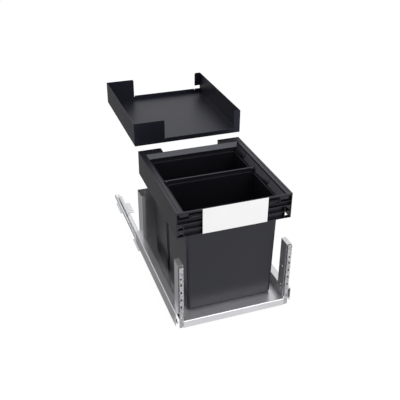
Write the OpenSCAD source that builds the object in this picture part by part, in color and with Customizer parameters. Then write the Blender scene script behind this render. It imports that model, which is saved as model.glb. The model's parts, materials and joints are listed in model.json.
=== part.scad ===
/* [Cabinet] */
// Clear width between the side walls of the cabinet
cabinet_w = 368; // [340:1:420]
// Gap between the shelf and each side wall
shelf_gap = 6; // [3:0.5:8]
// Gap between the screw tabs and each side wall
tab_gap = 0.5; // [0.3:0.1:2]
// Gap between the skirts of the base pan and each side wall
skirt_gap = 1; // [0.8:0.1:2]

/* [Shelf] */
// Depth of the shelf tray
shelf_d = 394; // [340:1:450]
// Height of its side walls
shelf_h = 76; // [50:1:100]
// Height of the low lips along its front and back
shelf_lip_h = 15; // [10:1:30]
// Sheet thickness of the shelf tray
shelf_sheet = 1.5; // [1:0.1:3]
// Clear height between the bin frame and the shelf
shelf_clear = 13; // [8:0.5:30]
// Distance of the shelf's front edge behind the front ends of the rails
shelf_setback = 6; // [0:1:40]
// Width of the tall corner tabs on the left
tab_wide = 99; // [60:1:120]
// Width of the narrow corner tabs on the right
tab_narrow = 22; // [15:1:40]

/* [Runners] */
// Length of each rail, which is also how far the unit pulls out
rail_l = 400; // [350:5:450]
// Width of the rail section
rail_w = 16; // [16:0.5:18]
// Height of the cabinet rail section
rail_h = 12; // [12:0.5:16]
// Sheet thickness of the rails
rail_sheet = 1.2; // [1:0.1:1.5]
// Width of the screw tabs at the side of the cabinet rails
floor_tab_w = 7.1; // [6.5:0.1:9]
// Length of the screw tabs
floor_tab_l = 78; // [60:1:90]
// Middle of the front screw tab behind the front end of the rail
front_tab_y = 46; // [42:1:60]
// Middle of the rear screw tab behind the front end of the rail
rear_tab_y = 311; // [290:1:330]
// Radius of the bearing balls
ball_r = 1.8; // [1.6:0.1:1.9]
// Balls in each row of a cage
balls_per_row = 5; // [3:1:7]

/* [Base pan] */
// Height of the pan's folded channels above the cabinet floor
channel_top = 63; // [60:0.5:75]
// Height of the lower edge of the outer skirts
skirt_low = 17; // [10:0.5:24]
// Height of the pan floor that the bins stand on
pan_floor = 31.5; // [29:0.5:36]
// Height of the lower edge of the front flange
flange_low = 8; // [4:0.5:14]
// How much longer the pan's folded channels are than the rails
pan_tail = 56; // [40:1:80]
// Distance that the channels reach in front of the bin frame
pan_lead = 18; // [12:0.5:24]
// Distance that the front flange reaches in front of the bin frame
flange_lead = 22.8; // [20:0.2:28]
// Sheet thickness of the pan and the posts
sheet = 1.2; // [0.8:0.1:1.5]

/* [Posts] */
// Height of the top of the four posts
post_top = 226; // [180:1:260]
// Width of the front posts
front_post_w = 15.2; // [14:0.2:18]
// Depth of the front posts
front_post_d = 37; // [30:1:45]
// Depth of the rear posts
rear_post_d = 49; // [40:1:60]
// Width of the rear posts at the back
rear_post_w = 34; // [26:1:40]
// Width of the narrow flange at the front of the rear posts
rear_post_lip = 13; // [8:0.5:16]

/* [Bin frame] */
// Gap between the bin frame and each side wall of the cabinet
frame_gap = 13.5; // [10:0.5:19]
// Depth of the ring that goes round the bins
ring_d = 367; // [350:1:390]
// Depth of the two corner pads behind the ring
pad_d = 30; // [20:1:40]
// Width of the two corner pads
pad_w = 74; // [50:1:90]
// Height of the bin frame
frame_h = 79; // [65:1:90]
// Height of the top of the bin frame above the cabinet floor
frame_top = 386; // [350:1:420]
// Wall thickness of the frame moulding
frame_wall = 2.5; // [2:0.1:3]

/* [Bins] */
// Width of each side of the frame, from its outer face to the openings
frame_side = 30.5; // [28.5:0.5:40]
// Distance from the frame's front to the divider bar
divider_y = 204.5; // [180:0.5:230]
// Width of the divider bar
divider_w = 5; // [4:0.5:8]
// Depth of the bin rims below the top of the frame
rim_drop = 26; // [24:1:40]
// Wall thickness of the bins
bin_wall = 2; // [1.5:0.1:2.5]
// Inward slope of the bin walls over their full height
bin_draft = 4.5; // [3:0.5:7]
// Corner radius of the bins
bin_r = 9; // [9:1:20]
// Play between the bins and the frame on each side
bin_play = 0.6; // [0.4:0.1:1]

/* [Hidden] */

// Overrun of every cut past the face it leaves
over = 1;
// Flat faces that nearly touch stand this far apart
seat = 0.3;
// Centre-line radius of every sheet-metal fold
bend_r = 2;
bend_steps = 4;
round_fn = 40;

// Places along the depth: the origin is in the middle of the drawn-out unit
rail_y = flange_lead / 2;
travel = rail_l;
out_y = rail_y - travel;
pan_l = rail_l + pan_tail;

// Places across the width
wall_x = cabinet_w / 2;
rail_out = wall_x - tab_gap - floor_tab_w;
rail_x = rail_out - rail_w / 2;
skirt_out = wall_x - skirt_gap;
frame_w = cabinet_w - 2 * frame_gap;
opening_w = frame_w - 2 * frame_side;
rail_play = 0.4;
inner_out = rail_x - rail_w / 2 - rail_play;
inner_in = inner_out - sheet;

// Runner section, measured from its own middle and from the floor
race_in = rail_w / 2 - rail_sheet;
slot_half = 3.4;
web_half = 1.4;
ball_play = 0.3;
ball_x = race_in - ball_r - ball_play;
head_half = 3.2;
head_h = 5.4;
head_low = 3.6;
ball_z = head_low + head_h / 2;
cage_sheet = 0.8;
cage_low = 2.4;
cage_top = 9.4;
member_gap = 8;
mirror_z = rail_h + member_gap / 2;
cage_l = 150;
middle_end = 2;
drawer_top = channel_top - sheet;
foot_w = 10.4;
screw_hole_r = 2.1;
tab_hole_pitch = 50;

// Fixing plate on the cabinet floor
plate_y = 262;
plate_l = 73;
plate_w = 24;
plate_slots = 4;
plate_slot_w = 5;
plate_slot_l = 11;
plate_lap = 8;

// Posts
rear_post_gap = 14.5;
rear_post_out = wall_x - rear_post_gap;
panel_lap = 9;
post_front = -15;
web_low = 34;
post_screw_z = [56, 72, 138];
post_screw_y = 2;
post_screw_r = 1.9;
post_screw_play = 0.2;
screw_head_r = 3.3;
screw_head_h = 1.4;
head_round_share = 0.6;
screw_l = 8;

// Front brackets
bracket_t = 2;
bracket_low = 10;
bracket_top = post_top - sheet - seat;
bracket_w = 13;
bracket_flange = 30;
bracket_hole_r = 2.6;
bracket_hole_z = [45, 185];
tooth_pitch = 7;
tooth_d = 1.6;
tooth_h = 3.5;
slot_h = 8;
slot_w = 5;
slot_z = [86, 112, 138, 164];

// Height adjusters
knob_r = 3.7;
knob_l = 3.4;
knob_flutes = 12;
flute_r = 0.6;
adjuster_z = 31;
adjuster_block_l = 16;
adjuster_block_h = 9;
stem_r = 1.7;

// Bin frame section
skin = 3;
funnel_step = 6;
funnel_h = 22;
funnel_run = 12.5;
rear_run = 10;
rear_h = 13;
collar_h = 22;
groove_w = 2;
groove_d = 1.2;
groove_land = 9.5;
front_web_y = 10;
front_lip_d = 3.5;
front_lip_h = 5;
rib_t = 2;
rib_share = [0.29, 0.47, 0.71];
corner_cell = 20.5;
corner_filler_h = 17;
boss_w = 40;
boss_h = 15;
boss_inset = 54.5;
boss_x = frame_w / 2 - boss_inset;
boss_z = 20.5;
boss_slot_l = 30;
boss_slot_w = 5;
boss_wall = 1.5;
boss_slot_wall = 1.2;
boss_recess = 7;
gusset = 9;
gusset_h = 10;
divider_drop = 14;
step_y = [106, 286];
step_l = 5;
step_cut = 1.2;
step_wide = 2.2;
seam_share = 0.55;

// White front plate
plate_inset = 74;
plate_face_w = frame_w - 2 * plate_inset;
plate_face_h = 78;
plate_face_t = 1.5;

// Bins
rim_h = 7;
rim_out = 2;
rim_round_share = 0.33;
foot_r = 8;
foot_steps = 4;
arc_steps = 6;
opening_front = front_web_y + frame_wall;
opening_back = ring_d - rear_run - skin + bin_play;
bin_z = pan_floor + seat;
bin_top = frame_top - rim_drop;

// Unit vector, and the left-hand normal of a path segment
function unit(v) = v / norm(v);
function normal(a, b) = let (d = unit(b - a)) [-d[1], d[0]];

// Offset of a path corner for a sheet of half thickness 1
function miter(a, b, c) = let (m = normal(a, b), n = normal(b, c)) (m + n) / (1 + m * n);

// Points on one side of a path, a distance off it
function beside(path, off) = let (last = len(path) - 1) [
    for (i = [0:last]) path[i] + off * (
        i == 0 ? normal(path[0], path[1]) :
        i == last ? normal(path[last - 1], path[last]) :
        miter(path[i - 1], path[i], path[i + 1]))
];

// Arc that replaces corner b of a path a, b, c
function bend(a, b, c, r) = let (
    p = unit(a - b),
    q = unit(c - b),
    half = acos(p * q) / 2,
    cut = r / tan(half),
    centre = b + unit(p + q) * r / sin(half),
    from = b + p * cut - centre,
    to = b + q * cut - centre,
    turn = 180 - 2 * half
) [
    for (k = [0:bend_steps]) let (f = k / bend_steps)
        centre + (sin((1 - f) * turn) * from + sin(f * turn) * to) / sin(turn)
];

// Path with every inner corner rounded
function folded(path, r) = let (last = len(path) - 1) [
    for (i = [0:last])
        for (p = (i == 0 || i == last) ? [path[i]] : bend(path[i - 1], path[i], path[i + 1], r)) p
];

// Outline of a folded sheet that follows a path
function sheet_outline(path, t, r) = let (
    line = folded(path, r),
    left = beside(line, t / 2),
    right = beside(line, -t / 2)
) concat(left, [for (i = [len(right) - 1:-1:0]) right[i]]);

// Block between two corners
module block(from, to) {
    translate(from) cube(to - from);
}

// Section in X and Z, drawn out along Y
module along_y(y0, y1) {
    translate([0, y1, 0]) rotate([90, 0, 0]) linear_extrude(y1 - y0) children();
}

// Section in Y and Z, drawn out along X
module along_x(x0, x1) {
    translate([x0, 0, 0]) rotate([90, 0, 90]) linear_extrude(x1 - x0) children();
}

module left_side() {
    mirror([1, 0, 0]) children();
}

module round_slot(l, w) {
    hull_x = (l - w) / 2;
    for (s = [-1, 1]) translate([s * hull_x, 0]) circle(w / 2, $fn = round_fn);
    square([2 * hull_x, w], center = true);
}

// Shelf

shelf_w = cabinet_w - 2 * shelf_gap;
shelf_y = rail_y + shelf_setback;
shelf_z = frame_top + shelf_clear;
shelf_hole_in = 6;
shelf_hole_down = 7;
shelf_hole_r = 1.9;
shelf_fold = 2;
tab_round = 6;
relief_w = 1.6;
relief_h = 5;
rear_window_h = 12;

// Tall corner tab of the shelf, seen from the front, rounded at its free top corner
module shelf_tab(w) {
    difference() {
        square([w, shelf_h]);
        translate([w - tab_round, shelf_h - tab_round]) difference() {
            square(tab_round + over);
            circle(tab_round, $fn = round_fn);
        }
    }
}

module shelf_end(y) {
    half = shelf_w / 2;
    along_y(y, y + shelf_sheet) {
        translate([-half, 0]) shelf_tab(tab_wide);
        translate([half, 0]) mirror([1, 0]) shelf_tab(tab_narrow);
        difference() {
            translate([-half, 0]) square([shelf_w, shelf_lip_h]);
            for (x = [-half + tab_wide, half - tab_narrow - relief_w])
                translate([x, shelf_lip_h - relief_h]) square([relief_w, relief_h + over]);
        }
    }
}

module shelf_tray() {
    half = shelf_w / 2;
    path = [
        [-half + shelf_sheet / 2, shelf_h],
        [-half + shelf_sheet / 2, shelf_sheet / 2],
        [half - shelf_sheet / 2, shelf_sheet / 2],
        [half - shelf_sheet / 2, shelf_h]
    ];
    color([0.13, 0.13, 0.15]) translate([0, shelf_y, shelf_z]) difference() {
        union() {
            along_y(0, shelf_d) polygon(sheet_outline(path, shelf_sheet, shelf_fold));
            intersection() {
                union() {
                    shelf_end(0);
                    shelf_end(shelf_d - shelf_sheet);
                }
                along_y(-over, shelf_d + over) polygon(folded([
                    [-half, shelf_h], [-half, 0], [half, 0], [half, shelf_h]
                ], shelf_fold));
            }
        }
        block([half - tab_narrow - over, shelf_d - shelf_sheet - over, shelf_lip_h],
            [half - shelf_sheet, shelf_d + over, shelf_lip_h + rear_window_h]);
        for (y = [shelf_hole_in, shelf_d - shelf_hole_in])
            translate([-half - over, y, shelf_h - shelf_hole_down]) rotate([0, 90, 0])
                cylinder(shelf_w + 2 * over, r = shelf_hole_r, $fn = round_fn);
    }
}

// Runners: every member is drawn on the right and mirrored to the left

// Section of a rail channel that stands on the origin, with its two inward lips
module rail_section(top) {
    t = rail_sheet / 2;
    x = rail_w / 2 - t;
    polygon(sheet_outline([
        [-slot_half, top - t], [-x, top - t], [-x, t], [x, t], [x, top - t], [slot_half, top - t]
    ], rail_sheet, rail_sheet));
}

module cabinet_rail() {
    color([0.8, 0.81, 0.83]) difference() {
        union() {
            translate([rail_x, 0, 0]) along_y(rail_y, rail_y + rail_l) rail_section(rail_h);
            block([rail_x - rail_w / 2 - foot_w, rail_y, 0],
                [rail_x, rail_y + rail_l, rail_sheet]);
            for (y = [front_tab_y, rear_tab_y])
                block([rail_x, rail_y + y - floor_tab_l / 2, 0],
                    [rail_out + floor_tab_w, rail_y + y + floor_tab_l / 2, rail_sheet]);
        }
        for (y = [front_tab_y, rear_tab_y], s = [-1, 1])
            translate([rail_out + floor_tab_w / 2, rail_y + y + s * tab_hole_pitch / 2, -over])
                cylinder(rail_sheet + 2 * over, r = screw_hole_r, $fn = round_fn);
    }
}

// Perforated plate that pins the rear of the rail to the cabinet floor
module fixing_plate() {
    x1 = rail_x - rail_w / 2 - seat;
    x0 = rail_x - rail_w / 2 - foot_w + plate_lap - plate_w;
    pitch = plate_l / plate_slots;
    color([0.86, 0.86, 0.89]) difference() {
        block([x0, rail_y + plate_y, rail_sheet], [x1, rail_y + plate_y + plate_l, 2 * rail_sheet]);
        for (i = [0:plate_slots - 1])
            translate([x0 + plate_slot_w, rail_y + plate_y + (i + 0.5) * pitch, 0]) rotate(90)
                linear_extrude(rail_h) round_slot(plate_slot_l, plate_slot_w);
    }
}

// I section of the middle rail, with a ball race in each side of both heads
module head_section() {
    difference() {
        translate([-head_half, head_low]) square([2 * head_half, head_h]);
        for (s = [-1, 1])
            translate([s * ball_x, ball_z]) circle(ball_r + ball_play, $fn = round_fn);
    }
}

module over_mirror_z() {
    children();
    translate([0, 2 * mirror_z]) mirror([0, 1]) children();
}

module middle_rail() {
    y0 = out_y + travel / 2 + middle_end;
    color([0.72, 0.73, 0.76]) translate([rail_x, 0, 0])
        along_y(y0, y0 + rail_l - 2 * middle_end) {
            over_mirror_z() head_section();
            translate([-web_half, head_low + head_h])
                square([2 * web_half, 2 * (mirror_z - head_low - head_h)]);
        }
}

// Cage strip bent round a head, with a hole for each ball
module cage_at(y_mid) {
    pitch = cage_l / balls_per_row;
    y0 = y_mid - cage_l / 2;
    difference() {
        along_y(y0, y0 + cage_l) polygon(sheet_outline([
            [-ball_x, cage_top], [-ball_x, cage_low], [ball_x, cage_low], [ball_x, cage_top]
        ], cage_sheet, cage_sheet));
        for (i = [0:balls_per_row - 1])
            translate([-rail_w / 2, y0 + (i + 0.5) * pitch, ball_z]) rotate([0, 90, 0])
                cylinder(rail_w, r = ball_r + ball_play / 2, $fn = round_fn);
    }
}

module balls_at(y_mid) {
    pitch = cage_l / balls_per_row;
    y0 = y_mid - cage_l / 2;
    for (i = [0:balls_per_row - 1], s = [-1, 1])
        translate([s * ball_x, y0 + (i + 0.5) * pitch, ball_z]) sphere(ball_r, $fn = round_fn);
}

lower_mid = rail_y + rail_l / 4;
upper_mid = out_y + rail_l * 3 / 4;

module upper_place() {
    translate([rail_x, 0, 2 * mirror_z]) mirror([0, 0, 1]) children();
}

module lower_cage() {
    color([0.55, 0.56, 0.58]) translate([rail_x, 0, 0]) cage_at(lower_mid);
}

module lower_balls() {
    color([0.85, 0.85, 0.87]) translate([rail_x, 0, 0]) balls_at(lower_mid);
}

module upper_cage() {
    color([0.55, 0.56, 0.58]) upper_place() cage_at(upper_mid);
}

module upper_balls() {
    color([0.85, 0.85, 0.87]) upper_place() balls_at(upper_mid);
}

// Drawer rail: a channel open below, closed above against the pan's channel
module drawer_rail() {
    low = rail_h + member_gap;
    h = drawer_top - low;
    color([0.75, 0.76, 0.79]) translate([rail_x, 0, drawer_top]) mirror([0, 0, 1])
        along_y(out_y, out_y + rail_l) rail_section(h);
}

// Base pan: one sheet folded into a floor, two channels and two skirts

pan_back_h = 26;

module base_pan() {
    t = sheet / 2;
    side = [
        [inner_out - t, pan_floor - t], [inner_out - t, channel_top - t],
        [skirt_out - t, channel_top - t], [skirt_out - t, skirt_low]
    ];
    path = concat([for (i = [3:-1:0]) [-side[i][0], side[i][1]]], side);
    y0 = out_y - pan_lead;
    color([0.6, 0.6, 0.63]) difference() {
        union() {
            along_y(y0, y0 + pan_l) polygon(sheet_outline(path, sheet, bend_r));
            along_x(-inner_out, inner_out) polygon(sheet_outline([
                [y0 + bend_r, pan_floor - t],
                [out_y - flange_lead + t, pan_floor - t],
                [out_y - flange_lead + t, flange_low]
            ], sheet, bend_r));
            block([-inner_in - t, y0 + pan_l - sheet, pan_floor - sheet],
                [inner_in + t, y0 + pan_l, pan_floor + pan_back_h]);
        }
        for (s = [-1, 1]) translate([s * inner_in, out_y + post_screw_y, post_screw_z[0]])
            rotate([0, 90, 0])
                cylinder(screw_l, r = post_screw_r + post_screw_play, center = true, $fn = round_fn);
    }
}

// Posts, drawn on the right

web_out = inner_in;
web_in = web_out - sheet;

module post_screw_holes() {
    for (z = post_screw_z) translate([web_in, out_y + post_screw_y, z]) rotate([0, 90, 0])
        cylinder(2 * screw_l, r = post_screw_r + post_screw_play, center = true, $fn = round_fn);
}

module front_post() {
    t = sheet / 2;
    y0 = out_y + post_front;
    y1 = y0 + front_post_d;
    x1 = web_in + front_post_w;
    color([0.55, 0.55, 0.58]) difference() {
        union() {
            translate([0, 0, channel_top]) linear_extrude(post_top - channel_top)
                polygon(sheet_outline([
                    [x1 - t, y0], [x1 - t, y1 - t], [web_in + t, y1 - t], [web_in + t, y0]
                ], sheet, bend_r));
            block([web_in, y0, web_low], [web_out, y1 - bend_r, channel_top + over]);
            block([web_in + t, y0, post_top - sheet], [x1 - t, y1 - t, post_top]);
        }
        post_screw_holes();
    }
}

module rear_post() {
    t = sheet / 2;
    y1 = out_y - pan_lead + pan_l - sheet;
    y0 = y1 - rear_post_d;
    x0 = rear_post_out - rear_post_w;
    color([0.6, 0.6, 0.63]) union() {
        translate([0, 0, channel_top]) linear_extrude(post_top - channel_top)
            polygon(sheet_outline([
                [rear_post_out - rear_post_lip, y0 + t], [rear_post_out - t, y0 + t],
                [rear_post_out - t, y1 - t], [x0, y1 - t]
            ], sheet, bend_r));
        block([x0, y1 - sheet, pan_floor + bend_r], [inner_in - seat, y1, channel_top + over]);
    }
}

// Back wall between the rear posts, lapped over their wide flanges
module back_panel() {
    y1 = out_y - pan_lead + pan_l - 2 * sheet;
    half = rear_post_out - rear_post_w + panel_lap;
    color([0.6, 0.6, 0.63])
        block([-half, y1 - sheet, pan_floor], [half, y1, post_top - seat]);
}

// Front brackets, drawn on the right, that carry the cabinet front

module front_bracket() {
    y0 = out_y - flange_lead;
    x0 = inner_in + seat;
    x1 = x0 + bracket_w;
    low_x = inner_out + seat;
    up_z = channel_top + seat;
    teeth = floor((bracket_top - up_z - 2 * tooth_pitch) / tooth_pitch);
    color([0.83, 0.84, 0.85]) difference() {
        union() {
            block([low_x, y0, bracket_low], [x1, y0 + bracket_t, up_z + over]);
            block([x0, y0, up_z], [x1, y0 + bracket_t, bracket_top]);
            block([x0, y0, up_z], [x0 + bracket_t, y0 + bracket_flange, bracket_top]);
            block([x0, y0, bracket_top - bracket_t], [x1, y0 + bracket_w / 2, bracket_top]);
        }
        for (z = bracket_hole_z) translate([(low_x + x1) / 2, y0, z]) rotate([90, 0, 0])
            cylinder(2 * screw_l, r = bracket_hole_r, center = true, $fn = round_fn);
        for (z = slot_z) translate([(low_x + x1) / 2, y0 + bracket_t + over, z]) rotate([90, 90, 0])
            linear_extrude(bracket_t + 2 * over) round_slot(slot_h, slot_w);
        for (i = [1:teeth])
            block([x1 - tooth_d, y0 - over, up_z + i * tooth_pitch],
                [x1 + over, y0 + bracket_t + over, up_z + i * tooth_pitch + tooth_h]);
        post_screw_holes();
    }
}

module post_screws() {
    r = screw_head_r;
    h = screw_head_h;
    color([0.88, 0.88, 0.89]) for (z = post_screw_z)
        translate([web_in, out_y + post_screw_y, z]) rotate([0, 90, 0]) {
            translate([0, 0, -h]) rotate_extrude($fn = round_fn) polygon([
                [0, 0], [r * head_round_share, 0], [r, h * head_round_share], [r, h], [0, h]
            ]);
            cylinder(z < channel_top ? 2 * sheet : screw_l, r = post_screw_r, $fn = round_fn);
        }
}

// Height adjuster beside the front end of the drawer rail

module height_adjuster() {
    x = (rail_out + skirt_out - sheet) / 2;
    y0 = out_y - flange_lead + seat;
    block_w = skirt_out - sheet - rail_out - 2 * seat;
    color([0.62, 0.63, 0.66]) {
        translate([x, y0, adjuster_z]) rotate([-90, 0, 0]) difference() {
            cylinder(knob_l, r = knob_r, $fn = round_fn);
            for (i = [0:knob_flutes - 1]) rotate(i * 360 / knob_flutes)
                translate([knob_r, 0, -over])
                    cylinder(knob_l + 2 * over, r = flute_r, $fn = round_fn);
        }
        translate([x, y0 + knob_l / 2, adjuster_z]) rotate([-90, 0, 0])
            cylinder(flange_lead, r = stem_r, $fn = round_fn);
        translate([x, out_y + adjuster_block_l / 2, adjuster_z])
            cube([block_w, adjuster_block_l, adjuster_block_h], center = true);
    }
}

// Bin frame: one moulding, drawn from its front top edge, z counting down from the top

half_w = frame_w / 2;
open_half = opening_w / 2;
funnel_out = open_half + funnel_run;
funnel_rise = funnel_h - funnel_step;
collar_out = open_half + frame_wall;
drop = funnel_h + collar_h;

// Section of a side of the ring: wall, grooved top, step down to the funnel face, and collar
module side_section() {
    difference() {
        polygon([
            [half_w, -frame_h], [half_w, 0], [funnel_out, 0], [funnel_out, -funnel_step],
            [open_half, -funnel_h], [open_half, -drop], [collar_out, -drop],
            [collar_out, -funnel_h], [funnel_out + skin, -funnel_step], [funnel_out + skin, -skin],
            [half_w - frame_wall, -skin], [half_w - frame_wall, -frame_h]
        ]);
        translate([funnel_out + groove_land, -groove_d]) square([groove_w, groove_d + over]);
    }
}

// Section of the back of the ring
module back_section() {
    inner = opening_back;
    polygon([
        [ring_d, -frame_h], [ring_d, 0], [inner + rear_run, 0], [inner, -rear_h],
        [inner, -drop], [inner + frame_wall, -drop], [inner + frame_wall, -rear_h],
        [ring_d - frame_wall, -skin], [ring_d - frame_wall, -frame_h]
    ]);
}

// Section of the front of the ring: lip, sloping web and lower web
module front_section() {
    polygon([
        [0, 0], [front_lip_d, 0], [opening_front, -funnel_h], [opening_front, -frame_h],
        [front_web_y, -frame_h], [front_web_y, -funnel_h], [front_lip_d - rib_t, -front_lip_h],
        [0, -front_lip_h]
    ]);
}

module corner_pad() {
    x0 = half_w - pad_w;
    translate([0, ring_d, 0]) difference() {
        block([x0, -frame_wall, -frame_h], [half_w, pad_d, 0]);
        block([x0 + frame_wall, 0, -frame_h - over], [half_w - frame_wall, pad_d - frame_wall, -skin]);
    }
}

// Oblong wall of a given thickness, w and h measured over it
module oblong_wall(w, h, t) {
    difference() {
        round_slot(w, h);
        round_slot(w - 2 * t, h - 2 * t);
    }
}

// Oblong boss on the front: a collar, and a second one round the slot in its floor
module boss() {
    slot_w = boss_slot_l + 2 * boss_slot_wall;
    slot_h = boss_slot_w + 2 * boss_slot_wall;
    translate([boss_x, opening_front, -boss_z]) rotate([90, 0, 0]) {
        linear_extrude(opening_front) {
            oblong_wall(boss_w, boss_h, boss_wall);
            oblong_wall(slot_w, slot_h, boss_slot_wall);
        }
        linear_extrude(opening_front - boss_recess) difference() {
            round_slot(boss_w - boss_wall, boss_h - boss_wall);
            round_slot(boss_slot_l, boss_slot_w);
        }
    }
}

// Space inside a boss, and its slot through the sloping web
module boss_void() {
    translate([boss_x, opening_front + over, -boss_z]) rotate([90, 0, 0])
        linear_extrude(opening_front + 2 * over)
            round_slot(boss_w - boss_wall, boss_h - boss_wall);
}

// Ribs between two heights across one front corner of the frame
module corner_ribs() {
    cell_x = half_w - corner_cell;
    boss_end = boss_x + boss_w / 2 - rib_t;
    block([boss_end, 0, -frame_h * rib_share[0] - rib_t],
        [half_w, opening_front, -frame_h * rib_share[0]]);
    block([cell_x - rib_t / 2, 0, -frame_h], [cell_x + rib_t / 2, opening_front,
        -frame_h * rib_share[1]]);
    block([half_w - frame_wall, 0, -frame_h], [half_w, front_web_y + over, 0]);
    block([funnel_out, 0, -skin], [half_w, front_web_y + over, 0]);
    along_x(boss_end, half_w - front_web_y) polygon([
        [front_lip_d, -skin], [front_lip_d, -corner_filler_h], [front_web_y + rib_t / 2, -funnel_h]
    ]);
}

// Front of the frame: a ribbed beam that is open towards the cabinet front
module front_beam() {
    difference() {
        union() {
            along_x(-half_w, half_w) front_section();
            block([-half_w, 0, -frame_h], [half_w, opening_front, rib_t - frame_h]);
            for (i = [1, 2])
                block([-half_w, 0, -frame_h * rib_share[i] - rib_t],
                    [half_w, opening_front, -frame_h * rib_share[i]]);
            for (s = [-1, 1]) scale([s, 1, 1]) corner_ribs();
        }
        for (s = [-1, 1]) scale([s, 1, 1]) boss_void();
        for (s = [-1, 1], i = [1, 2]) scale([s, 1, 1]) corner_window(i);
    }
    for (s = [-1, 1]) scale([s, 1, 1]) {
        boss();
        for (i = [1, 2]) corner_plate(i);
    }
}

// The two lower cells in each corner, between ribs i and i + 1, have no web
cell_in = half_w - corner_cell + rib_t / 2;
cell_out = half_w - frame_wall;
function cell_top(i) = -frame_h * rib_share[i] - rib_t;
function cell_low(i) = i == 2 ? rib_t - frame_h : -frame_h * rib_share[i + 1];

module corner_window(i) {
    block([cell_in, front_lip_d, cell_low(i)], [cell_out, opening_front + over, cell_top(i)]);
}

// Triangular plate across the upper outer half of such a cell, just behind the ribs' edges
module corner_plate(i) {
    lap = rib_t / 2;
    translate([0, 2 * rib_t, 0]) rotate([90, 0, 0]) linear_extrude(rib_t) polygon([
        [cell_in - lap, cell_top(i) + lap], [cell_out + lap, cell_top(i) + lap],
        [cell_out + lap, cell_low(i) - lap]
    ]);
}

// Step-shaped seam cut into the funnel face
module seam(y) {
    run = norm([funnel_rise, funnel_run]);
    bend = run * seam_share;
    translate([open_half, y, -funnel_h]) rotate([0, -atan2(funnel_rise, funnel_run), 0]) {
        block([bend, 0, -step_cut], [run + over, step_wide, over]);
        block([bend, -step_l, -step_cut], [bend + step_wide, step_wide, over]);
        block([-over, -step_l, -step_cut], [bend + step_wide, step_wide - step_l, over]);
    }
}

module bin_frame() {
    color([0.2, 0.2, 0.22]) translate([0, out_y, frame_top]) difference() {
        union() {
            for (s = [-1, 1]) scale([s, 1, 1]) {
                along_y(front_web_y, ring_d) side_section();
                corner_pad();
            }
            difference() {
                along_x(-funnel_out - skin, funnel_out + skin) back_section();
                block([-open_half, 0, -drop - over], [open_half, opening_back, over]);
            }
            front_beam();
        }
        for (s = [-1, 1], y = step_y) scale([s, 1, 1]) seam(y);
        for (s = [-1, 1]) scale([s, 1, 1])
            block([funnel_out + skin, ring_d - groove_w, -groove_d], [half_w + over, ring_d, over]);
        block([-half_w + pad_w, ring_d, -frame_h - over], [half_w - pad_w, ring_d + pad_d + over, over]);
    }
}

// Bar between the bins, seated in the collars, with a gusset at each end

module divider_bar() {
    top = frame_top - divider_drop;
    edge = frame_top - funnel_h;
    low = frame_top - drop;
    y0 = out_y + divider_y;
    end = open_half - seat / 2;
    wide = end + (top - edge) * funnel_run / funnel_rise - seat;
    color([0.22, 0.22, 0.24]) union() {
        along_y(y0, y0 + divider_w)
            polygon([[-end, low], [end, low], [end, edge], [wide, top], [-wide, top], [-end, edge]]);
        for (s = [-1, 1]) scale([s, 1, 1]) translate([0, 0, top - gusset_h])
            linear_extrude(gusset_h) polygon([[end, y0 + divider_w / 2], [end, y0 - gusset],
                [end - gusset, y0 + divider_w / 2]]);
    }
}

module front_plate() {
    color("white") translate([0, out_y, frame_top])
        block([-plate_face_w / 2, -plate_face_t, -plate_face_h], [plate_face_w / 2, 0, 0]);
}

// Bins

// Rounded rectangle ring at height z, w wide and d deep, centred
function ring(w, d, r, z) = [
    for (q = [0:3], k = [0:arc_steps]) let (
        a = 90 * (q + k / arc_steps),
        sx = (q == 0 || q == 3) ? 1 : -1,
        sy = q < 2 ? 1 : -1
    ) [sx * (w / 2 - r) + r * cos(a), sy * (d / 2 - r) + r * sin(a), z]
];

// Closed shell through a list of rings that all have as many points
module through_rings(rings) {
    n = len(rings[0]);
    m = len(rings);
    points = [for (g = rings) each g];
    polyhedron(points, concat(
        [[for (i = [0:n - 1]) i]],
        [for (j = [0:m - 2], i = [0:n - 1]) let (k = (i + 1) % n)
            [j * n + i, (j + 1) * n + i, (j + 1) * n + k, j * n + k]],
        [[for (i = [n - 1:-1:0]) (m - 1) * n + i]]
    ));
}

// Tapered bin with a stepped rim, standing at the origin, w and d measured over the rim
module bin_shell(w, d) {
    h = bin_top - bin_z;
    wt = w - 2 * rim_out;
    dt = d - 2 * rim_out;
    slope = bin_draft / h;
    function at(z, inset, r) = ring(
        wt - 2 * (slope * (h - z) + inset), dt - 2 * (slope * (h - z) + inset), r, z);
    function foot(k, r, lift, inset) = let (a = 90 * k / foot_steps)
        at(lift + r * (1 - sin(a)), inset + r * (1 - cos(a)), bin_r - inset - r * (1 - cos(a)));
    through_rings(concat(
        [for (k = [foot_steps:-1:0]) foot(k, foot_r, 0, 0)],
        [
            at(h - rim_h, 0, bin_r),
            ring(w, d, bin_r, h - rim_h + rim_out),
            ring(w, d, bin_r, h - rim_out * rim_round_share),
            ring(w - rim_out / 2, d - rim_out / 2, bin_r - rim_out / 4, h),
            at(h, bin_wall - rim_out * rim_round_share, bin_r - bin_wall),
            at(h - rim_h, bin_wall, bin_r - bin_wall)
        ],
        [for (k = [0:foot_steps]) foot(k, foot_r - bin_wall, bin_wall, bin_wall)]
    ));
}

bin_w = opening_w - 2 * bin_play;

module bin_between(y0, y1) {
    color([0.21, 0.21, 0.23])
        translate([0, out_y + (y0 + y1) / 2, bin_z]) bin_shell(bin_w, y1 - y0);
}

module front_bin() {
    bin_between(opening_front + bin_play, divider_y - bin_play);
}

module rear_bin() {
    bin_between(divider_y + divider_w + bin_play, opening_back - bin_play);
}

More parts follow.
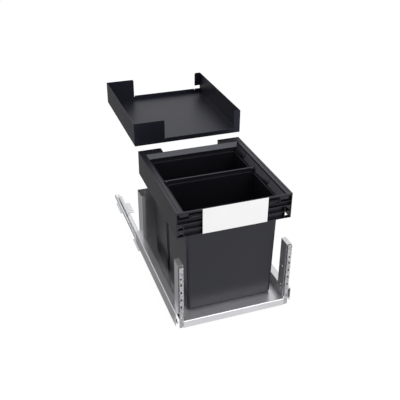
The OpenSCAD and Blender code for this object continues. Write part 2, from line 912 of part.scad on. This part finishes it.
shelf_tray();
left_side() cabinet_rail();  // cabinet_rail_left
cabinet_rail();  // cabinet_rail_right
left_side() fixing_plate();  // fixing_plate_left
fixing_plate();  // fixing_plate_right
left_side() lower_cage();  // lower_cage_left
lower_cage();  // lower_cage_right
left_side() lower_balls();  // lower_balls_left
lower_balls();  // lower_balls_right
left_side() middle_rail();  // middle_rail_left
middle_rail();  // middle_rail_right
left_side() upper_cage();  // upper_cage_left
upper_cage();  // upper_cage_right
left_side() upper_balls();  // upper_balls_left
upper_balls();  // upper_balls_right
left_side() drawer_rail();  // drawer_rail_left
drawer_rail();  // drawer_rail_right
base_pan();
left_side() front_post();  // front_post_left
front_post();  // front_post_right
left_side() rear_post();  // rear_post_left
rear_post();  // rear_post_right
back_panel();
left_side() front_bracket();  // front_bracket_left
front_bracket();  // front_bracket_right
left_side() height_adjuster();  // height_adjuster_left
height_adjuster();  // height_adjuster_right
left_side() post_screws();  // post_screws_left
post_screws();  // post_screws_right
bin_frame();
divider_bar();
front_plate();
front_bin();
rear_bin();
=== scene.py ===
import json
import math

import bmesh
import bpy
from mathutils import Matrix, Vector

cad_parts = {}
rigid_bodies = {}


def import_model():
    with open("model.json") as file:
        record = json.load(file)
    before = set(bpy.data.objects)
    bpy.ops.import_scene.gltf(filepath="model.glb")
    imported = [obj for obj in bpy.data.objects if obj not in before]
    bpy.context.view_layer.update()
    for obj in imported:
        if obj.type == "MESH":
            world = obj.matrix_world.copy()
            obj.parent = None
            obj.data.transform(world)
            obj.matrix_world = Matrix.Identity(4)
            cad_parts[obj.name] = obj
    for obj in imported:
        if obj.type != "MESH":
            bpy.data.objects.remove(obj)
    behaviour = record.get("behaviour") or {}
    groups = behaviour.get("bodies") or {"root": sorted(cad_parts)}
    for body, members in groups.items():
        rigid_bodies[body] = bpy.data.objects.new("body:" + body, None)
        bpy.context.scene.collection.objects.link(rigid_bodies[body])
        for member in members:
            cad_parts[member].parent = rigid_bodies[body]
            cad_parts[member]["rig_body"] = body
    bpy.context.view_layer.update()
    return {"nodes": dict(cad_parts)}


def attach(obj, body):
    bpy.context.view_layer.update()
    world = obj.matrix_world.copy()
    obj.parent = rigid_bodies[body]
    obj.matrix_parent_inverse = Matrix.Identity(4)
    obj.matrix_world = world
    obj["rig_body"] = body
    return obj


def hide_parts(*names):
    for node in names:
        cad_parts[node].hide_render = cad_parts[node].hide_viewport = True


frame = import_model()
nodes = frame["nodes"]


# Cabinet rails with their screw tabs, and the slotted plates in their rear ends.
# They are rolled and stamped from zinc-plated strip, a pale metal with faint rolling
# streaks and small zinc crystals, and are screwed down to the cabinet floor.


class Signal:
    """One value inside a node graph. Adding to it or multiplying it adds a Math node."""

    def __init__(self, graph, socket):
        self.graph = graph
        self.socket = socket

    def math(self, operation, other):
        return self.graph.node("Math", {"operation": operation}, {0: self, 1: other})

    def __add__(self, other):
        return self.math("ADD", other)

    def __mul__(self, other):
        return self.math("MULTIPLY", other)


class Graph:
    """The nodes of a material or of the world."""

    def __init__(self, owner):
        owner.use_nodes = True
        self.tree = owner.node_tree

    def node(self, kind, settings, values, out=0):
        """Adds a node, sets its settings first, and then its sockets by value or by link."""
        made = self.tree.nodes.new("ShaderNode" + kind)
        for key, value in settings.items():
            setattr(made, key, value)
        for key, value in values.items():
            if isinstance(value, Signal):
                self.tree.links.new(value.socket, made.inputs[key])
            else:
                made.inputs[key].default_value = value
        return Signal(self, made.outputs[out])

    def ray(self, kind):
        """Is 1 for rays of that kind and 0 for all others."""
        return self.node("LightPath", {}, {}, out=f"Is {kind} Ray")

    def link(self, signal, node, socket):
        """Feeds a socket of a node that is there already."""
        self.tree.links.new(signal.socket, self.tree.nodes[node].inputs[socket])


class Finish(Graph):
    """One material, built round its Principled shader."""

    def __init__(self, name, **constants):
        self.material = bpy.data.materials.new(name)
        super().__init__(self.material)
        self.shader = self.tree.nodes["Principled BSDF"]
        for socket, value in constants.items():
            self.shader.inputs[socket.replace("_", " ")].default_value = value

    def place(self, stretch=(1, 1, 1)):
        """Object coordinates in metres, stretched along each axis."""
        at = self.node("TexCoord", {}, {}, out="Object")
        return self.node("Mapping", {}, {"Vector": at, "Scale": stretch})

    def noise(self, scale, detail=2.0, stretch=(1, 1, 1)):
        values = {"Vector": self.place(stretch), "Scale": scale, "Detail": detail}
        return self.node("TexNoise", {}, values)

    def crystals(self, scale):
        """A random value for each cell of a pattern that has so many cells to a metre."""
        cell = self.node("TexVoronoi", {}, {"Vector": self.place(), "Scale": scale}, out="Color")
        return self.node("SeparateColor", {}, {"Color": cell})

    def shade(self, factor, dark, light):
        """A colour between two, which are sockets 6 and 7 of a Mix node for colours."""
        dark_end, light_end, result = 6, 7, 2
        values = {"Factor": factor, dark_end: (*dark, 1), light_end: (*light, 1)}
        return self.node("Mix", {"data_type": "RGBA"}, values, out=result)

    def relief(self, height, depth):
        return self.node("Bump", {}, {"Height": height, "Distance": depth})

    def feed(self, **signals):
        for socket, signal in signals.items():
            self.tree.links.new(signal.socket, self.shader.inputs[socket.replace("_", " ")])
        return self.material


def zinc(name, dark, light, rough, streaks, spangle=0.25):
    made = Finish(name, Metallic=1.0)
    rolled = made.noise(scale=1.0, detail=3.0, stretch=streaks)
    crystal = made.crystals(scale=210.0)
    patch = made.noise(scale=14.0)
    tone = rolled * (0.7 - spangle) + crystal * spangle + patch * 0.3
    return made.feed(
        Base_Color=made.shade(tone, dark, light),
        Roughness=rolled * 0.10 + crystal * 0.06 + rough,
        Normal=made.relief(rolled * 0.6 + crystal * 0.4, depth=0.00004),
    )


def dress(names, finish):
    """Gives CAD parts their finish."""
    for name in names:
        slots = nodes[name].data.materials
        slots.clear()
        slots.append(finish)


def both(*names):
    return [f"{name}_{side}" for name in names for side in ("left", "right")]


def added(name, data):
    """A new object at the origin, linked into the scene."""
    made = bpy.data.objects.new(name, data)
    bpy.context.scene.collection.objects.link(made)
    return made


def eased(node, finish, width, crisp=0.7, seams=(), thin=None):
    """A copy of a CAD part with its crisp edges rounded, in that part's place and on its body.

    An edge is crisp if it turns by more than that angle. Each seam, a point and a
    direction, splits faces that go round an opening. Thin, a distance along y and a
    width, gives the width of the rounding behind that distance."""
    weld = 0.00001
    flat = math.radians(0.5)
    gentle = 0.42
    form = bmesh.new()
    form.from_mesh(nodes[node].data)
    bmesh.ops.remove_doubles(form, verts=form.verts, dist=weld)
    for point, across in seams:
        cut = bmesh.ops.bisect_plane(
            form, geom=[*form.verts, *form.edges, *form.faces], plane_co=point, plane_no=across
        )
        for piece in cut["geom_cut"]:
            if isinstance(piece, bmesh.types.BMEdge):
                piece.seam = True
    bmesh.ops.dissolve_limit(
        form, angle_limit=flat, verts=form.verts, edges=form.edges, delimit={"SEAM"}
    )
    behind, narrow = thin or (math.inf, width)
    rounding = set()
    for back, offset in ((False, width), (True, narrow)):
        shortest = 4 * offset
        edges = [
            edge
            for edge in form.edges
            if edge.is_convex
            and edge.calc_face_angle() > crisp
            and edge.calc_length() > shortest
            and (max(corner.co.y for corner in edge.verts) > behind) == back
        ]
        rounded = bmesh.ops.bevel(
            form, geom=edges, affect="EDGES", offset=offset, segments=2, profile=0.5, material=-1
        )
        rounding.update(rounded["faces"])
    for face in form.faces:
        face.smooth = True
    for edge in form.edges:
        edge.smooth = edge.calc_face_angle() < gentle or rounding.issuperset(edge.link_faces)
    mesh = bpy.data.meshes.new(node + "_eased")
    form.to_mesh(mesh)
    form.free()
    piece = added(node + "_eased", mesh)
    mesh.materials.append(finish)
    normals = piece.modifiers.new("normals", "WEIGHTED_NORMAL")
    normals.keep_sharp = True
    normals.weight = 100
    normals.thresh = 0
    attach(piece, nodes[node]["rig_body"])
    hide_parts(node)


zinc_plate = zinc(
    "zinc_plate",
    dark=(0.58, 0.585, 0.60),
    light=(0.80, 0.805, 0.82),
    rough=0.26,
    streaks=(300, 5, 300),
)
for name in both("cabinet_rail"):
    eased(name, zinc_plate, width=0.0003)
dress(both("fixing_plate"), zinc_plate)


# Middle and drawer members of the runners, with the ball cages between them.
# The members are rolled sections, the cages are bent steel strip, and the polished
# balls run in the grooves of the middle member.

bright_zinc = zinc(
    "bright_zinc",
    dark=(0.70, 0.71, 0.73),
    light=(0.84, 0.85, 0.87),
    rough=0.18,
    streaks=(260, 4, 260),
)
for name in both("middle_rail"):
    eased(name, bright_zinc, width=0.0003)
for name in both("drawer_rail"):
    eased(name, zinc_plate, width=0.0003)

cage = Finish("cage_steel", Metallic=1.0)
drawn = cage.noise(scale=1.0, detail=3.0, stretch=(700, 12, 700))
cage.feed(
    Base_Color=cage.shade(drawn, dark=(0.36, 0.37, 0.39), light=(0.54, 0.55, 0.57)),
    Roughness=drawn * 0.15 + 0.3,
    Normal=cage.relief(drawn, depth=0.00004),
)
dress(both("lower_cage", "upper_cage"), cage.material)

ball = Finish("ball_steel", Metallic=1.0)
oil = ball.noise(scale=260.0)
ball.feed(
    Base_Color=ball.shade(oil, dark=(0.70, 0.70, 0.72), light=(0.86, 0.86, 0.88)),
    Roughness=oil * 0.12 + 0.04,
)
dress(both("lower_balls", "upper_balls"), ball.material)


# Base pan, posts and back panel: folded sheet steel with a silver-grey enamel that
# holds fine metal flakes, so that it mirrors what stands near it softly. The pan is
# one sheet, and the posts stand on its channels.

enamel = Finish("silver_grey_paint", Metallic=0.85, Coat_Roughness=0.25)
flake = enamel.crystals(scale=1600.0)
cloud = enamel.noise(scale=9.0, detail=3.0)
peel = enamel.noise(scale=420.0)
enamel.feed(
    Base_Color=enamel.shade(
        flake * 0.35 + cloud * 0.65, dark=(0.575, 0.572, 0.59), light=(0.755, 0.75, 0.775)
    ),
    Roughness=cloud * 0.08 + flake * 0.05 + 0.27,
    Normal=enamel.relief(peel * 0.7 + flake * 0.3, depth=0.00003),
)
for name in ["base_pan", "back_panel", *both("front_post", "rear_post")]:
    eased(name, enamel.material, width=0.0003)


# Front brackets with their teeth and slots, the fluted height adjusters beside them,
# and the three screws through each front post. All are zinc-plated, the brackets with
# a duller coat that shows its crystals.

dull_zinc = zinc(
    "dull_zinc",
    dark=(0.20, 0.205, 0.215),
    light=(0.66, 0.665, 0.68),
    rough=0.34,
    streaks=(60, 60, 60),
    spangle=0.6,
)
for name in both("front_bracket"):
    eased(name, dull_zinc, width=0.0003)
dress(both("height_adjuster"), zinc_plate)
dress(both("post_screws"), bright_zinc)


# Bin frame and divider bar: injection-moulded in anthracite plastic with a fine spark
# grain. The frame's front is an open ribbed beam, and its top slopes down to the bins.


def moulded(name, rough, grain):
    made = Finish(name, Specular_IOR_Level=0.45, Specular_Tint=(0.97, 0.98, 1.12, 1))
    fine = made.noise(scale=grain, detail=4.0)
    flow = made.noise(scale=7.0, detail=3.0, stretch=(1, 1, 2))
    return made.feed(
        Base_Color=made.shade(
            flow * 0.7 + fine * 0.3, dark=(0.003, 0.003, 0.0045), light=(0.006, 0.006, 0.008)
        ),
        Roughness=fine * 0.10 + flow * 0.06 + rough,
        Normal=made.relief(fine, depth=0.00005),
    )


anthracite = moulded("anthracite_plastic", rough=0.32, grain=1500.0)
frame_middle = (0, -0.2, 0)
beam_back = -0.376
eased(
    "bin_frame",
    anthracite,
    width=0.0005,
    seams=[(frame_middle, (1, 0, 0)), (frame_middle, (0, 1, 0))],
    thin=(beam_back, 0.00015),
)
eased("divider_bar", anthracite, width=0.0007)


# The plain plate on the frame's front, moulded in smooth white plastic. It lies flat
# against the frame, in the middle of the beam.

white = Finish("white_plastic")
mould = white.noise(scale=900.0)
tint = white.noise(scale=11.0)
white.feed(
    Base_Color=white.shade(tint, dark=(0.84, 0.84, 0.84), light=(0.89, 0.89, 0.89)),
    Roughness=mould * 0.08 + 0.30,
    Normal=white.relief(mould, depth=0.00002),
)
eased("front_plate", white.material, width=0.0004)


# The two bins, deep tapered boxes with a stepped rim and a rounded foot. They are
# moulded in the same anthracite as the frame, with a smoother satin skin.

bin_plastic = moulded("anthracite_bin", rough=0.28, grain=1100.0)
for name in ["front_bin", "rear_bin"]:
    eased(name, bin_plastic, width=0.0004, crisp=0.9)


# Shelf tray: one folded steel sheet with tall corner tabs, powder-coated black with
# the coat's slight orange-peel texture, and screwed to the cabinet sides.

powder = Finish(
    "black_powder_coat", Specular_IOR_Level=0.34, Specular_Tint=(0.92, 0.94, 1.25, 1)
)
dimple = powder.noise(scale=520.0, detail=3.0)
speck = powder.noise(scale=1900.0)
powder.feed(
    Base_Color=powder.shade(speck, dark=(0.003, 0.003, 0.006), light=(0.006, 0.006, 0.010)),
    Roughness=dimple * 0.10 + 0.36,
    Normal=powder.relief(dimple * 0.8 + speck * 0.2, depth=0.00008),
)
eased("shelf_tray", powder.material, width=0.0004)


# Studio: a pale floor, a white surround for the camera and for reflections, a broad
# weak lamp overhead, and a stronger one in front, high up and to the right.

floor_reach = 9.0
floor_drop = (0, 0, -0.0005)
floor_form = bmesh.new()
bmesh.ops.create_grid(floor_form, x_segments=1, y_segments=1, size=floor_reach)
bmesh.ops.translate(floor_form, verts=floor_form.verts, vec=floor_drop)
floor_mesh = bpy.data.meshes.new("floor")
floor_form.to_mesh(floor_mesh)
floor_form.free()
floor = added("floor", floor_mesh)

# The camera sees the paper white. For reflections the paper's glow carries a painted shadow:
# white in front of the part, and painted shade, dim, under, beside and behind it.
paper = Finish("floor_paper", Base_Color=(0.6, 0.6, 0.6, 1), Roughness=0.9)
# Where the painted shadow in reflections begins and ends along y, and how dim it is.
dim_from, white_from, dim_level = -0.34, -0.42, 0.27
white_level, shining_share = 1.08, 0.88
spot = paper.node("SeparateXYZ", {}, {"Vector": paper.place()}, out="Y")
# Painted shade for reflections: the glow that glossy rays see falls from white to a dim level
# behind the part.
reflection_painted_shade = paper.node(
    "MapRange",
    {},
    {"Value": spot, "From Min": dim_from, "From Max": white_from, "To Min": dim_level},
)
seen = paper.ray("Camera") + paper.ray("Transmission")
mirrored = paper.ray("Glossy")
glow = paper.node("Emission", {}, {"Strength": seen * white_level + mirrored * reflection_painted_shade})
shining = (seen + mirrored) * shining_share
matt = Signal(paper, paper.shader.outputs[0])
paper.link(
    paper.node("MixShader", {}, {0: shining, 1: matt, 2: glow}), "Material Output", "Surface"
)
floor_mesh.materials.append(paper.material)

world = bpy.data.worlds.new("surround")
bpy.context.scene.world = world
surround = Graph(world)
surround.tree.nodes["Background"].inputs["Color"].default_value = (1, 1, 1, 1)
shown = surround.ray("Camera") + surround.ray("Transmission") + surround.ray("Glossy")
light_level, shown_extra = 0.8, 0.2
surround.link(shown * shown_extra + light_level, "Background", "Strength")


def lamp(name, at, towards, size, watts):
    data = bpy.data.lights.new(name, "AREA")
    data.size = size
    data.energy = watts
    made = added(name, data)
    turn = (Vector(towards) - Vector(at)).to_track_quat("-Z", "Y")
    made.matrix_world = Matrix.Translation(at) @ turn.to_matrix().to_4x4()


lamp("overhead", at=(0.3, 0.3, 2.8), towards=(0, 0, 0.2), size=2.0, watts=8)
lamp("key", at=(0.80, -1.95, 2.05), towards=(0, -0.1, 0.35), size=1.5, watts=30)


# The camera stands where the photograph was taken from: 19.7 degrees to the left of
# the front and 30.3 degrees above the horizon.

azimuth, elevation, roll = 0.343536, 0.528708, 0.007334
camera_place = (-0.58543, -1.73319, 1.24988)
look = Vector(
    (
        math.sin(azimuth) * math.cos(elevation),
        math.cos(azimuth) * math.cos(elevation),
        -math.sin(elevation),
    )
)
level_right = Vector((math.cos(azimuth), -math.sin(azimuth), 0))
level_up = level_right.cross(look)
right = math.cos(roll) * level_right + math.sin(roll) * level_up
up = math.cos(roll) * level_up - math.sin(roll) * level_right
camera_data = bpy.data.cameras.new("camera")
camera_data.lens = 56.48
camera = added("camera", camera_data)
turned = Matrix((right, up, -look)).transposed().to_4x4()
camera.matrix_world = Matrix.Translation(camera_place) @ turned
bpy.context.scene.camera = camera
bpy.context.scene.view_settings.view_transform = "Standard"
